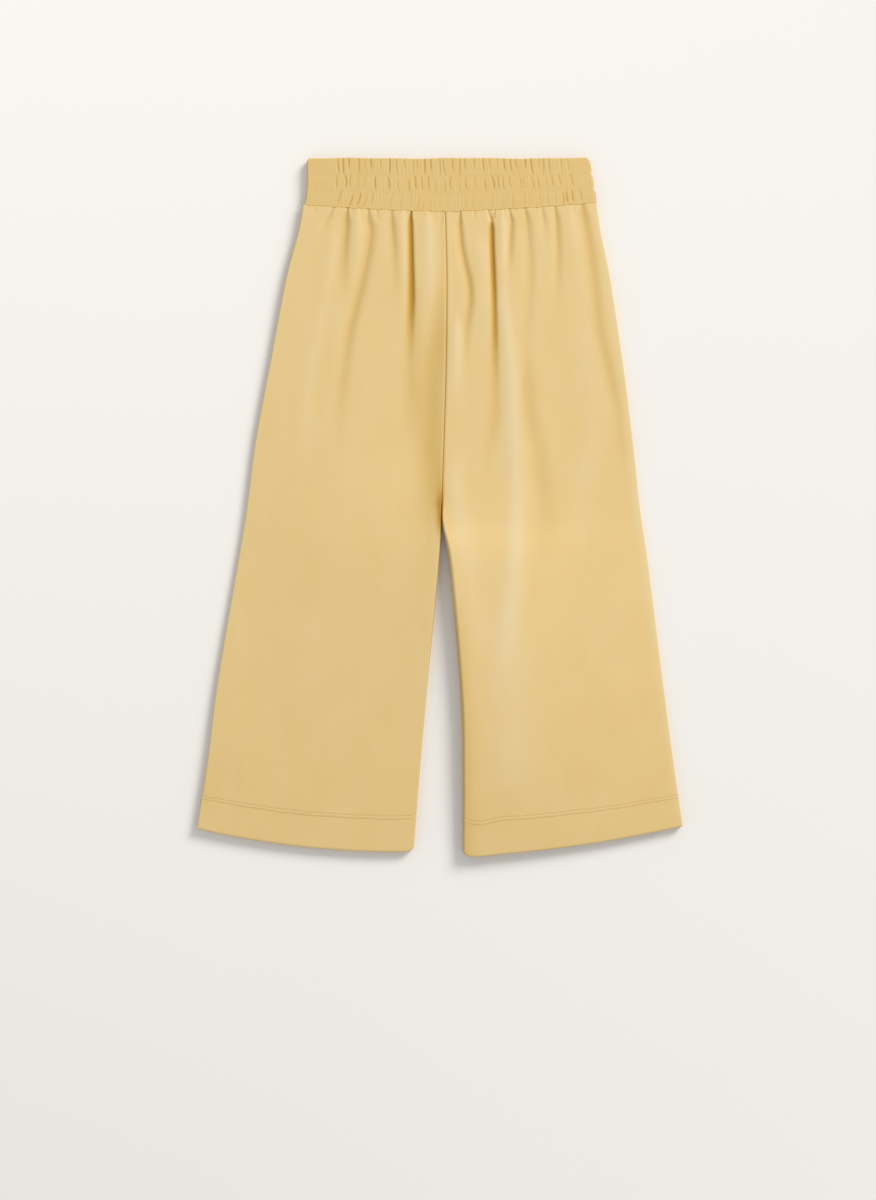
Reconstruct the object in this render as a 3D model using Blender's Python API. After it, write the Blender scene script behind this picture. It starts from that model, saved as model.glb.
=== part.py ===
"""Wide cropped pull-on trousers with a shirred elastic waistband, laid flat, front side up.

+Y runs from the hems to the waist, +X to the right of the laid-out garment and +Z up from the
surface it lies on. The origin is on that surface, under the middle of the garment's outline.
Each cut piece is one cloth wall: two leg fronts lying on two leg backs, and the waistband's loop.
"""

import math
import random
from collections import namedtuple

import bmesh
import bpy

MM = 0.001

# Cloth and make
CLOTH = 1.8 * MM  # brushed jersey, one layer
WAISTBAND_WALL = 3.7 * MM  # two layers with the elastic between them
SEAM_GAP = 0.3 * MM  # between two pieces at a seam
EDGE_ROUND = 0.45  # how far in from its edge a flattened tube starts to curve down, by its height
LEAST_ROUND = 0.2 * MM  # of a wall's inside
HEM_DEPTH = 34.0 * MM  # the turned-up hem, where the wall is two layers

# Waistband
WAIST_TOP_Y = 330.8 * MM
WAIST_TOP_LEFT_X, WAIST_TOP_RIGHT_X = -126.2 * MM, 141.4 * MM
WAIST_SEAM_LEFT_X, WAIST_SEAM_RIGHT_X = -129.0 * MM, 148.0 * MM
WAISTBAND_HEIGHT = 8.6 * MM  # both walls and the slit between them
WAISTBAND_TOP_ROUND = 1.2 * MM
CHANNEL_SHARES = (0.0, 0.33, 0.67, 1.0)  # the rows of shirring stitches, down the waistband
RIB_ROWS = (0.22, 0.5, 0.78)  # where a rib's height is set, down its channel
RIB_POINTS = ((0.0, 0.0), (0.2, 0.8), (0.5, 1.0), (0.8, 0.8))  # (along, share of height)
RIB_SEED = 5

# Legs
WAIST_BOW = -1.0 * MM  # how far a row across the leg hangs below a straight line, at the waist
RIGHT_HEM_BOW, LEFT_HEM_BOW = -6.2 * MM, -4.1 * MM  # and at the hem
HEM_CORNER = 4.0 * MM  # rounding of the hem's inner corner
CROTCH_STATION = 5
CROTCH_LENGTH = 20.0 * MM  # the stretch over which the rise seam drops between the legs
EDGE_ANGLES = (0, 30, 60)  # degrees up a rounded edge, before its flat part at 90
FRONT_COLUMNS = 33  # across the flat part of a leg's front
BACK_COLUMNS = 7
FOLD_START_SHARE = 0.7  # of a fold's depth, right at the waist seam
FOLD_FULL_AT = 0.12  # the share of its length where it is deepest
FOLD_SPREAD = 1.6  # how much wider a fold gets by its end
FOLD_CLEAR = 16.0 * MM  # folds die out this near a side edge

# Outline of one leg, from the waist seam down to the hem: its outer edge and its inner one, which
# is the rise seam above the crotch, and how high the flattened leg is at each.
Station = namedtuple("Station", "outer_x outer_y inner_x inner_y outer_height inner_height")
RIGHT_LEG = (
    Station(-130.2, 286.2, 5.0, 279.5, 8.8, 8.8),
    Station(-134.0, 263.4, 5.7, 255.8, 8.6, 8.6),
    Station(-146.3, 215.9, 6.5, 208.3, 8.0, 8.0),
    Station(-160.6, 139.9, 5.7, 133.2, 7.2, 7.2),
    Station(-174.9, 63.9, 3.5, 58.2, 6.4, 7.8),
    Station(-183.4, -0.8, 1.4, -9.3, 6.0, 11.0),
    Station(-190.8, -46.4, -0.8, -55.9, 5.6, 12.5),
    Station(-210.9, -164.2, -12.4, -177.5, 6.6, 8.5),
    Station(-220.6, -240.2, -19.2, -256.3, 8.4, 7.6),
    Station(-230.8, -304.8, -24.5, -326.8, 9.0, 8.4),
)
LEFT_LEG = (
    Station(149.0, 288.1, 5.0, 279.5, 8.8, 8.8),
    Station(152.6, 261.5, 5.7, 255.8, 8.6, 8.6),
    Station(161.8, 215.9, 6.5, 208.3, 8.0, 8.0),
    Station(173.3, 139.9, 5.7, 133.2, 7.2, 7.2),
    Station(183.0, 63.9, 3.5, 58.2, 6.4, 7.8),
    Station(190.2, -2.7, 1.4, -9.3, 6.0, 11.0),
    Station(197.2, -50.2, 7.8, -55.9, 6.0, 17.0),
    Station(211.5, -164.2, 19.3, -178.4, 6.2, 16.0),
    Station(221.4, -240.2, 21.2, -257.3, 7.0, 14.5),
    Station(230.4, -302.4, 21.4, -331.4, 8.2, 11.5),
)

# Gathers below the waist seam. A fold starts at `top_x` and ends at `end_x`, `reach` further down.
# A positive depth is a trough, with its own width on each side, and a negative one a soft ridge.
Fold = namedtuple("Fold", "top_x end_x reach depth left_width right_width")
FOLDS = (
    Fold(-116, -121, 60, 0.5, 5, 5),
    Fold(-102, -110, 30, 1.0, 4, 3),
    Fold(-88, -92, 115, 2.2, 6, 4),
    Fold(-75, -88, 130, -0.7, 8, 8),
    Fold(-66, -90, 180, 1.6, 6, 5),
    Fold(-46, -43, 60, 1.3, 5, 4),
    Fold(-36, -34, 150, -0.8, 8, 8),
    Fold(-27, -26, 165, 3.0, 6, 3),
    Fold(-9, -5, 290, 0.5, 9, 5),
    Fold(-10, -9, 150, -0.8, 7, 6),
    Fold(19, 27, 130, 2.0, 5, 4),
    Fold(34, 38, 150, -0.6, 7, 7),
    Fold(49, 60, 190, 3.0, 6, 3),
    Fold(62, 70, 260, -1.0, 7, 10),
    Fold(67, 69, 70, 1.3, 4, 4),
    Fold(81, 78, 190, 1.6, 7, 6),
    Fold(96, 97, 60, 0.8, 4, 4),
    Fold(109, 115, 150, 1.5, 6, 5),
    Fold(122, 132, 130, -0.7, 7, 6),
    Fold(133, 160, 240, 2.0, 7, 4),
)
# Broad waves further down the legs: centre, half lengths across and along, and height.
Wave = namedtuple("Wave", "x y across along height")
WAVES = (
    Wave(-20, 60, 20, 90, -1.0),
    Wave(-95, -62, 45, 190, 0.5),
    Wave(70, 20, 10, 110, 0.9),
    Wave(92, 80, 12, 70, -0.7),
    Wave(-165, -152, 30, 110, -0.4),
)

# Shirring of the waistband: the ribs of one channel, stretch by stretch. `slant` is how far a rib
# leans to the right on its way down the channel.
Shirring = namedtuple("Shirring", "from_x to_x ribs height slant")
CHANNELS = (
    (Shirring(-97, -16, 11, 0.9, 0.0), Shirring(-16, 47, 8, 0.8, 2.5), Shirring(47, 121, 9, 0.8, 3.5)),
    (Shirring(-97, -16, 10, 0.8, 0.6), Shirring(-16, 44, 7, 0.8, 2.0), Shirring(44, 124, 11, 0.7, 1.8)),
    (Shirring(-99, -14, 10, 0.7, -4.5), Shirring(-14, 40, 8, 0.3, -2.0), Shirring(40, 124, 10, 0.5, 0.8)),
)

CLOTH_COLOUR = (0.76, 0.56, 0.23, 1.0)
CLOTH_ROUGHNESS = 0.9


def smooth_step(value):
    value = min(max(value, 0.0), 1.0)
    return value * value * (3 - 2 * value)


def through(values, position, corner=0):
    """The value at `position` stations along a smooth curve through the stations' values.

    The curve may turn sharply at the station numbered `corner`."""
    if position < corner:
        values = values[: corner + 1]
    else:
        values, position = values[corner:], position - corner
    index = min(int(position), len(values) - 2)
    share = position - index
    before = values[max(index - 1, 0)]
    start, end = values[index], values[index + 1]
    after = values[min(index + 2, len(values) - 1)]
    start_slope, end_slope = (end - before) / 2, (after - start) / 2
    return (
        start
        + start_slope * share
        + (3 * (end - start) - 2 * start_slope - end_slope) * share**2
        + (start_slope + end_slope - 2 * (end - start)) * share**3
    )


def station_at(leg, position):
    """The leg's outline at a place between its stations, in metres."""
    corners = (0, 0, CROTCH_STATION, CROTCH_STATION, 0, 0)
    return Station(*(MM * through(values, position, corner) for values, corner in zip(zip(*leg), corners)))


def row_y(station, share, position, leg):
    """Height on the Y axis of a row across the leg, `share` of the way from its inner edge."""
    down = position / (len(leg) - 1)
    hem_bow = RIGHT_HEM_BOW if leg is RIGHT_LEG else LEFT_HEM_BOW
    bow = WAIST_BOW + (hem_bow - WAIST_BOW) * down
    return station.inner_y + (station.outer_y - station.inner_y) * share + bow * 4 * share * (1 - share)


def waist_seam_y(x):
    """The line where the waistband meets the legs."""
    leg = RIGHT_LEG if x < RIGHT_LEG[0].inner_x * MM else LEFT_LEG
    station = station_at(leg, 0)
    share = (x - station.inner_x) / (station.outer_x - station.inner_x)
    return row_y(station, share, 0, leg)


def fold_height(x, y):
    """How far gathers and waves lift the front at a point."""
    down = max(waist_seam_y(x) - y, 0.0)
    height = 0.0
    for fold in FOLDS:
        along = down / (fold.reach * MM)
        if along >= 1:
            continue
        centre = (fold.top_x + (fold.end_x - fold.top_x) * along) * MM
        side = fold.left_width if x < centre else fold.right_width
        width = side * MM * (1 + (FOLD_SPREAD - 1) * along)
        start = FOLD_START_SHARE + (1 - FOLD_START_SHARE) * smooth_step(along / FOLD_FULL_AT)
        fade = 1 - smooth_step((along - FOLD_FULL_AT) / (1 - FOLD_FULL_AT))
        height -= fold.depth * MM * start * fade * math.exp(-(((x - centre) / width) ** 2))
    for wave in WAVES:
        away = ((x / MM - wave.x) / wave.across) ** 2 + ((y / MM - wave.y) / wave.along) ** 2
        height += wave.height * MM * math.exp(-away)
    return height


def crotch_share(position, leg):
    """0 where the two legs are joined by the rise seam, and 1 where each closes on itself."""
    crotch_y = leg[CROTCH_STATION].inner_y * MM
    return 1 - smooth_step((station_at(leg, position).inner_y - crotch_y) / CROTCH_LENGTH)


def edge_columns(flat_columns):
    """Each column across a leg: (share of the flat part, angle up the inner edge, angle up the outer edge)."""
    columns = [(0.0, angle, 90) for angle in EDGE_ANGLES]
    columns += [(index / (flat_columns - 1), 90, 90) for index in range(flat_columns)]
    columns += [(1.0, 90, angle) for angle in reversed(EDGE_ANGLES)]
    return columns


def leg_row(leg, position, flat_columns, layers, is_front):
    """The wall's outer and inner points on one row across a leg's front or back."""
    station = station_at(leg, position)
    across = station.outer_x - station.inner_x
    direction = math.copysign(1.0, across)
    inner_edge = SEAM_GAP / 2 / abs(across)
    rise = crotch_share(position, leg)
    wall = CLOTH * layers
    inner_round, outer_round = EDGE_ROUND * station.inner_height, EDGE_ROUND * station.outer_height
    outer_points, inner_points = [], []
    for flat_share, inner_angle, outer_angle in edge_columns(flat_columns):
        inner_cos, outer_cos = math.cos(math.radians(inner_angle)), math.cos(math.radians(outer_angle))
        drop = rise * (1 - math.sin(math.radians(inner_angle))) + 1 - math.sin(math.radians(outer_angle))
        points = []
        for thickness in (0.0, wall):
            from_inner = inner_round - max(inner_round - thickness * rise, LEAST_ROUND) * inner_cos
            from_outer = outer_round - max(outer_round - thickness, LEAST_ROUND) * outer_cos
            flat_width = abs(across) - inner_round - outer_round
            distance = from_inner + flat_share * flat_width if outer_angle == 90 else abs(across) - from_outer
            share = inner_edge + (1 - inner_edge) * distance / abs(across)
            x = station.inner_x + direction * share * abs(across)
            y = row_y(station, share, position, leg)
            end_share = smooth_step(position - len(leg) + 2)
            y += HEM_CORNER * end_share * (1 - math.sin(math.radians(inner_angle)))
            height = station.inner_height + (station.outer_height - station.inner_height) * share
            seam_height = height / 2 + (SEAM_GAP / 2 if is_front else -SEAM_GAP / 2)
            surface = thickness
            if is_front:
                edge_distance = min(abs(across) * (1 - share), abs(across) * share + FOLD_CLEAR * (1 - rise))
                lift = fold_height(x, y) * smooth_step(edge_distance / FOLD_CLEAR)
                surface = height - thickness + lift
            points.append((x, y, surface + drop * (seam_height - surface)))
        outer_points.append(points[0])
        inner_points.append(points[1])
    return outer_points, inner_points


def add_solid(name, points, faces, material):
    """A closed mesh object, its faces turned to point out."""
    shape = bmesh.new()
    vertices = [shape.verts.new(point) for point in points]
    for face in faces:
        shape.faces.new([vertices[index] for index in face])
    bmesh.ops.recalc_face_normals(shape, faces=shape.faces)
    mesh = bpy.data.meshes.new(name)
    shape.to_mesh(mesh)
    shape.free()
    mesh.materials.append(material)
    mesh.shade_smooth()
    solid = bpy.data.objects.new(name, mesh)
    bpy.context.scene.collection.objects.link(solid)
    return solid


def open_wall(name, outer_rows, inner_rows, material):
    """A cloth wall with four edges, from its rows of outer and inner points."""
    rows, columns = len(outer_rows), len(outer_rows[0])
    points = [point for row in outer_rows + inner_rows for point in row]

    def at(side, row, column):
        return (side * rows + row) * columns + column

    faces = []
    for side in (0, 1):
        for row in range(rows - 1):
            for column in range(columns - 1):
                corners = [(row, column), (row, column + 1), (row + 1, column + 1), (row + 1, column)]
                faces.append([at(side, *corner) for corner in corners])
    for row in range(rows - 1):
        for column in (0, columns - 1):
            faces.append([at(0, row, column), at(0, row + 1, column), at(1, row + 1, column), at(1, row, column)])
    for column in range(columns - 1):
        for row in (0, rows - 1):
            faces.append([at(0, row, column), at(0, row, column + 1), at(1, row, column + 1), at(1, row, column)])
    return add_solid(name, points, faces, material)


def tube_wall(name, outer_rings, inner_rings, material):
    """A cloth tube, from its outer rings and from its first and last inner rings."""
    columns = len(outer_rings[0])
    rings = outer_rings + inner_rings
    points = [point for ring in rings for point in ring]
    last_outer, first_inner, last_inner = len(outer_rings) - 1, len(outer_rings), len(rings) - 1
    pairs = [(ring, ring + 1) for ring in range(last_outer)]
    pairs += [(last_outer, last_inner), (last_inner, first_inner), (first_inner, 0)]
    faces = []
    for ring, next_ring in pairs:
        for column in range(columns):
            neighbour = (column + 1) % columns
            faces.append(
                [
                    ring * columns + column,
                    ring * columns + neighbour,
                    next_ring * columns + neighbour,
                    next_ring * columns + column,
                ]
            )
    return add_solid(name, points, faces, material)


def turn_up_position(leg):
    """How many stations down the turned-up hem ends."""
    last = len(leg) - 1
    hem_y = station_at(leg, last).outer_y
    above, below = last - 1.0, float(last)
    while below - above > 0.001:
        middle = (above + below) / 2
        if station_at(leg, middle).outer_y - hem_y > HEM_DEPTH:
            above = middle
        else:
            below = middle
    return above


def leg_positions(leg):
    """Rows down the leg, in stations: close together at the gathers, and at the hem's turned-up edge."""
    gathers = [0.0, 0.12, 0.3, 0.55, 0.8, 1.1, 1.45, 1.8, 2.2, 2.6]
    thigh = [3.0, 3.5, 4.0, 4.4, 4.75, 4.9, 5.0, 5.2, 5.5]
    calf = [6.0, 6.6, 7.2, 7.8]
    last, turn_up = len(leg) - 1, turn_up_position(leg)
    return gathers + thigh + calf + [turn_up, turn_up + 0.02, last - 0.2, last]


def add_leg_panel(name, leg, is_front, material):
    positions = leg_positions(leg)
    hem_rows = 3
    rows = [
        leg_row(
            leg,
            position,
            FRONT_COLUMNS if is_front else BACK_COLUMNS,
            2 if index >= len(positions) - hem_rows else 1,
            is_front,
        )
        for index, position in enumerate(positions)
    ]
    return open_wall(name, [outer for outer, _ in rows], [inner for _, inner in rows], material)


def rib_columns(channel, jitter):
    """(x, share of rib height, rib height, slant) of each column over one channel's ribs, in metres."""
    columns = []
    for stretch in channel:
        pitch = (stretch.to_x - stretch.from_x) / stretch.ribs
        for rib in range(stretch.ribs):
            start = stretch.from_x + rib * pitch + jitter.uniform(-0.12, 0.12) * pitch
            height = stretch.height * jitter.uniform(0.75, 1.1)
            for along, share in RIB_POINTS:
                columns.append(((start + along * pitch) * MM, share, height * MM, stretch.slant * MM))
    return columns


def waistband_ring(down, front, thickness):
    """One ring round the waistband, `down` of the way from its top to its seam.

    `front` holds (x, lift) for the columns over the ribs; the ends and the back are plain."""
    left = WAIST_TOP_LEFT_X + (WAIST_SEAM_LEFT_X - WAIST_TOP_LEFT_X) * down**4
    right = WAIST_TOP_RIGHT_X + (WAIST_SEAM_RIGHT_X - WAIST_TOP_RIGHT_X) * down
    middle = WAISTBAND_HEIGHT / 2
    half = middle - thickness
    outer_round = EDGE_ROUND * WAISTBAND_HEIGHT
    end_round = max(outer_round - thickness, LEAST_ROUND)
    left_centre, right_centre = left + outer_round, right - outer_round
    ring = [(left_centre, middle + half)]
    ring += [(x, middle + half + (lift if thickness == 0 else 0.0)) for x, lift in front]
    ring.append((right_centre, middle + half))
    for angle in (60, 30, 0, -30, -60):
        along, up = math.cos(math.radians(angle)), math.sin(math.radians(angle))
        ring.append((right_centre + end_round * along, middle + half * up))
    back_columns = 6
    for index in range(back_columns):
        ring.append((right_centre + (left_centre - right_centre) * index / (back_columns - 1), middle - half))
    for angle in (-60, -30, 0, 30, 60):
        along, up = math.cos(math.radians(angle)), math.sin(math.radians(angle))
        ring.append((left_centre - end_round * along, middle + half * up))
    return [(x, WAIST_TOP_Y + (waist_seam_y(x) + SEAM_GAP - WAIST_TOP_Y) * down, z) for x, z in ring]


def rounded_in(ring, depth):
    """The ring at the waistband's very top, where its folded edge curves in to the middle of each wall."""
    middle = WAISTBAND_HEIGHT / 2
    return [(x, y, z + math.copysign(depth, middle - z)) for x, y, z in ring]


def add_waistband(material):
    jitter = random.Random(RIB_SEED)
    channels = [rib_columns(channel, jitter) for channel in CHANNELS]
    evenly = [sum(column[0] for column in columns) / len(columns) for columns in zip(*channels)]
    height = WAIST_TOP_Y - waist_seam_y(0.0)
    outer = [rounded_in(waistband_ring(0.0, [(x, 0.0) for x in evenly], 0.0), WAISTBAND_TOP_ROUND)]
    for index, channel in enumerate(channels):
        top, bottom = CHANNEL_SHARES[index], CHANNEL_SHARES[index + 1]
        if index == 0:
            top = WAISTBAND_TOP_ROUND / height
        outer.append(waistband_ring(top, [(x, 0.0) for x in evenly], 0.0))
        for row in RIB_ROWS:
            swell = math.sin(math.pi * row) ** 0.5
            front = [(x + slant * (row - 0.5), share * rib * swell) for x, share, rib, slant in channel]
            outer.append(waistband_ring(top + (bottom - top) * row, front, 0.0))
    outer.append(waistband_ring(1.0, [(x, 0.0) for x in evenly], 0.0))
    inner = [waistband_ring(down, [(x, 0.0) for x in evenly], WAISTBAND_WALL) for down in (0.0, 1.0)]
    return tube_wall("waistband", outer, inner, material)


def cloth_material():
    material = bpy.data.materials.new("yellow_jersey")
    material.use_nodes = True
    shader = material.node_tree.nodes["Principled BSDF"]
    shader.inputs["Base Color"].default_value = CLOTH_COLOUR
    shader.inputs["Roughness"].default_value = CLOTH_ROUGHNESS
    shader.inputs["Metallic"].default_value = 0.0
    return material


def main():
    for old in list(bpy.data.objects):
        bpy.data.objects.remove(old)
    jersey = cloth_material()
    add_leg_panel("front_left", LEFT_LEG, True, jersey)
    add_leg_panel("front_right", RIGHT_LEG, True, jersey)
    add_leg_panel("back_left", LEFT_LEG, False, jersey)
    add_leg_panel("back_right", RIGHT_LEG, False, jersey)
    add_waistband(jersey)


main()
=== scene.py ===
# Wide cropped pull-on trousers in yellow jersey, laid flat on a pale surface, front side up.
# Sizes in the dictionaries are millimetres. +X is the wearer's left, +Y the waist, +Z up.
import math
import random

import bmesh
import bpy
import numpy as np
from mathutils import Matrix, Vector


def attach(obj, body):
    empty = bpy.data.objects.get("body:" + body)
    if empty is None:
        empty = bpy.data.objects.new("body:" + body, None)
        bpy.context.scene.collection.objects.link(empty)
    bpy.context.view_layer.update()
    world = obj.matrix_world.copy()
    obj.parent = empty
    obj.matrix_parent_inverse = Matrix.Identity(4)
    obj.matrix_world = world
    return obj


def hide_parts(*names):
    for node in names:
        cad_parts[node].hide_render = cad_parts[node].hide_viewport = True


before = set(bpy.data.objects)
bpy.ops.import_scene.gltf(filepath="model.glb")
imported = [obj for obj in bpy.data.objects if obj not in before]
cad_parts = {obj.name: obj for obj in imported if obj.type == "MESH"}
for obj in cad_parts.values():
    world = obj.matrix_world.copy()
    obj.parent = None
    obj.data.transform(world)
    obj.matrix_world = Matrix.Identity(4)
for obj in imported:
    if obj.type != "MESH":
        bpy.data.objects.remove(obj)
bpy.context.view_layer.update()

metre = 0.001  # of a millimetre


# Camera, straight above the garment as in the photo
camera = {
    "mmPerPixel": 0.95,
    "imageSize": (876, 1200),
    "originPixel": (440, 507.2),  # the pixel over the middle of the garment
    "lens": 85,
    "sensor": 36,
    "clipEnd": 50,  # metres
}


def addCamera():
    print("camera")
    width, height = camera["imageSize"]
    scale = camera["mmPerPixel"] * metre
    data = bpy.data.cameras.new("camera")
    data.lens = camera["lens"]
    data.sensor_width = camera["sensor"]
    data.clip_end = camera["clipEnd"]
    seen = bpy.data.objects.new("camera", data)
    seen.location = (
        (width / 2 - camera["originPixel"][0]) * scale,
        (camera["originPixel"][1] - height / 2) * scale,
        height * scale * camera["lens"] / camera["sensor"],
    )
    bpy.context.scene.collection.objects.link(seen)
    bpy.context.scene.camera = seen


addCamera()


# What every piece shares
cloth = {
    "layer": 1.8,
    "seamGap": 0.07,
    "edgeRound": 0.1,  # how far in from its edge a flattened tube starts to curve down, by its height
    "puffedAt": 7,  # and more where it is higher than this
    "puffedRound": 0.2,
    "leastRound": 0.2,
}


def edgeRadius(height):
    return cloth["edgeRound"] * height + cloth["puffedRound"] * max(height - cloth["puffedAt"], 0)


def smoothStep(value):
    value = np.clip(value, 0, 1)
    return value * value * (3 - 2 * value)


def bump(distance, width):
    return np.exp(-(distance / width) ** 2)


# Legs. Each section, from the waist seam down to the hem, gives the outer edge's x and y, the
# inner edge's x and y (the rise seam above the crotch), and the height at the outer and inner edge.
legs = {
    "right": (
        (-130.2, 286.2, 5.0, 279.5, 8.8, 8.8),
        (-134.0, 263.4, 5.7, 255.8, 8.6, 8.6),
        (-146.3, 215.9, 6.5, 208.3, 8.0, 8.0),
        (-160.6, 139.9, 5.7, 133.2, 7.2, 7.2),
        (-174.9, 63.9, 3.5, 58.2, 6.4, 7.8),
        (-183.4, -0.8, 1.4, -9.3, 6.0, 11.0),
        (-190.8, -46.4, -0.8, -55.9, 5.6, 12.5),
        (-210.9, -164.2, -12.4, -177.5, 6.6, 8.5),
        (-220.6, -240.2, -19.2, -256.3, 7.8, 7.6),
        (-230.8, -304.8, -24.5, -326.8, 8.0, 7.8),
    ),
    "left": (
        (149.0, 288.1, 5.0, 279.5, 8.8, 8.8),
        (152.6, 261.5, 5.7, 255.8, 8.6, 8.6),
        (161.8, 215.9, 6.5, 208.3, 8.0, 8.0),
        (173.3, 139.9, 5.7, 133.2, 7.2, 7.2),
        (183.0, 63.9, 3.5, 58.2, 6.4, 7.8),
        (190.2, -2.7, 1.4, -9.3, 6.0, 11.0),
        (197.2, -50.2, 8.8, -55.9, 6.0, 17.0),
        (211.5, -164.2, 19.3, -178.4, 6.2, 16.0),
        (221.4, -240.2, 21.2, -257.3, 7.0, 14.5),
        (230.4, -302.4, 21.4, -331.4, 7.8, 11.0),
    ),
    "crotchSection": 5,
    "crotchLength": 20,  # the stretch over which the rise seam drops between the legs
    "waistBow": -1.0,  # how far a row across the leg hangs below a straight line, at the waist
    "hemBow": {"right": -6.6, "left": -4.6},  # and at the hem
    "hemCorner": 4,  # rounding of the hem's inner corner
    "cornerWidth": 9,
    "hemDepth": 34,
    "seamCrease": 0.45,  # depth and width of the crease where two panels are sewn
    "creaseWidth": 0.6,
    "seamLip": 0.14,  # how far the allowance under the cloth lifts it beside the crease
    "lipAt": 2.6,
    "lipWidth": 1.6,
    "waistCurl": 0.6,  # the stretch over which the cloth curls down into the waist seam
    "waistCurlDepth": 0.2,
    "foldClear": 16,  # folds die out this near a side edge
    "gathered": 0.25,  # how much more cloth there is across the waist, and how soon that falls off
    "gatheredOver": 90,
    "depthSteps": 400,
}
# The waist seam isn't drawn with a ruler, and its crease gets painted shade, darker in some places than in
# others
waistSeam = {
    "wobble": 0.42,
    "wobbleLengths": (3.1, 1.7),
    "second": 0.7,
    "below": 3,  # how far down the leg the wobble dies out
    "shade": 0.5,
    "shadeSwing": 0.35,
    "shadeLengths": (1.3, 4.7),
}

# Folds in the fronts. A row gives the path down the fold, its greatest depth (less than 0 for a
# ridge), the widths of its left and right slopes, and what differs from its kind's shape.
gatherShape = {
    "sharp": 0.3,  # 1 for a crease
    "softens": 1.3,  # how soon along its path it is no longer sharp
    "start": 0.5,  # the share of the depth at the top of the path
    "fullTo": 0.15,  # the share of the path that is full
    "opensOver": 17,  # a gather is narrow at the waist seam and has its width this far below it
    "narrow": 0.33,
    "spread": 1.5,  # how much wider a fold gets by its end
    "tail": 0.5,  # the share of its depth that is left well below the waist seam
    "tailAt": 30,
    # the shade values are painted shade, golden, along a fold's hollow
    "shade": 0.25,  # how hollow it looks at its deepest
    "topShade": 0.5,  # and how much more so while it is narrow
    "shadeWidth": 0.95,
    "shaded": 0.3,  # the tint leans to a fold's right slope, which is turned from the light
}
gathers = (
    (((-119, 288), (-118, 276)), 0.7, (2.5, 2), {"sharp": 0.2}),
    (((-100, 286), (-104, 277), (-109, 268), (-116, 248)), 1.3, (4, 3), {"sharp": 0.4}),
    (((-87, 285), (-88.5, 277), (-89, 265), (-91, 240), (-94, 185)),
     1.8, (6, 3.5), {"fullTo": 0.3, "shade": 0.62}),
    (((-84, 285), (-83, 274)), 0.9, (2, 2), {"sharp": 0.4}),
    (((-68, 283), (-68, 273), (-66, 261), (-68.5, 240), (-75, 211), (-86, 168), (-92, 130), (-97, 92),
      (-100, 30)),
     1.4, (5.5, 4.5), {"fullTo": 0.35, "shade": 0.42, "tail": 0.8}),
    (((-60, 283), (-59, 268)), 0.9, (3, 3), {}),
    (((-46, 283), (-46, 271), (-44, 245), (-42, 185)),
     1.3, (4.5, 3.5), {"sharp": 0.4, "fullTo": 0.3, "shade": 0.5}),
    (((-26.5, 282), (-27.3, 276), (-26.3, 225), (-25.8, 197), (-27, 168), (-28.5, 125)),
     2.1, (4.2, 1.6), {"start": 0.7, "fullTo": 0.3, "shade": 1.15, "shaded": 0, "tail": 1}),
    (((3.2, 280), (0, 262)), 0.7, (3, 1.5), {"sharp": 0.4}),
    (((15.5, 280), (16, 272)), 0.7, (1.5, 1.5), {"sharp": 0.4}),
    (((19, 280), (18.5, 265), (20.3, 246), (23.5, 230), (26.8, 216), (28.3, 204), (28, 192), (26, 178),
      (24, 162), (22, 120)),
     1.3, (4, 3), {"sharp": 0.4, "start": 0.8, "fullTo": 0.45, "shade": 0.55, "tail": 0.85}),
    (((32, 281), (33, 270)), 0.7, (2, 2), {}),
    (((45, 283), (48.5, 270)), 1.3, (2, 2), {"sharp": 0.5, "fullTo": 0.7}),
    (((52.3, 283), (49.9, 271)), 1.3, (2, 2), {"sharp": 0.5, "fullTo": 0.7}),
    (((49, 279), (49.6, 262), (50, 244), (51.5, 206), (52.3, 168), (52.8, 95)),
     2.1, (3.2, 1.8), {"start": 0.1, "fullTo": 0.25, "shade": 1.15, "shaded": 0, "tail": 1}),
    (((65, 284), (67.5, 271), (66, 246), (64, 212)),
     1.2, (3, 2.8), {"sharp": 0.4, "fullTo": 0.4, "shade": 0.45, "tail": 0.8}),
    (((80, 286), (82.5, 268), (85, 235), (85, 205), (80, 150), (82, 95)),
     1.3, (5, 4), {"sharp": 0.4, "shade": 0.38}),
    (((96, 287), (98.5, 268), (100, 240)), 0.9, (3, 3), {}),
    (((108, 288), (110, 273), (111.5, 244), (111, 170)),
     1.2, (3.5, 3.5), {"sharp": 0.4, "fullTo": 0.3, "shade": 0.5}),
    (((134, 290), (138, 268), (141.5, 249), (146, 213), (149.5, 168), (158.5, 130), (169, 92),
      (172.5, 54), (174, 0)),
     0.9, (6, 5.5), {"sharp": 0.1, "fullTo": 0.6, "shade": 0.6, "tail": 0.45}),
)
# Cloth that stands up between the gathers, with painted highlight where its shade is below 0
ridgeShape = {"sharp": 0, "tail": 1}
ridges = (
    (((-100, 266), (-104, 244), (-108, 211), (-117, 168), (-125, 130), (-129, 92), (-134, 20)),
     -0.3, (6, 5), {"start": 0, "fullTo": 0.5, "shade": -0.18}),
    (((-78, 285), (-79, 245), (-84, 200)), -0.6, (5, 4), {"shade": -0.15}),
    (((-36, 283), (-35, 212), (-38, 142)), -0.6, (6, 5), {"shade": -0.2}),
    (((-12, 282), (-11, 212), (-14, 132)), -0.6, (6, 5), {"shade": -0.3}),
    (((15, 190), (14, 150), (12, 80)),
     -0.7, (5, 5), {"start": 0, "opensOver": 30, "fullTo": 0.4, "shade": -0.35}),
    (((36, 262), (39, 212), (41, 132)), -0.4, (6, 6), {"start": 0, "shade": -0.15}),
    (((58.5, 282), (58.5, 225), (61, 180)), -0.6, (3.5, 3.5), {"shade": -0.3}),
    (((122, 286), (128, 232), (134, 170)), -0.4, (6, 5), {"shade": -0.15}),
)
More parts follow.
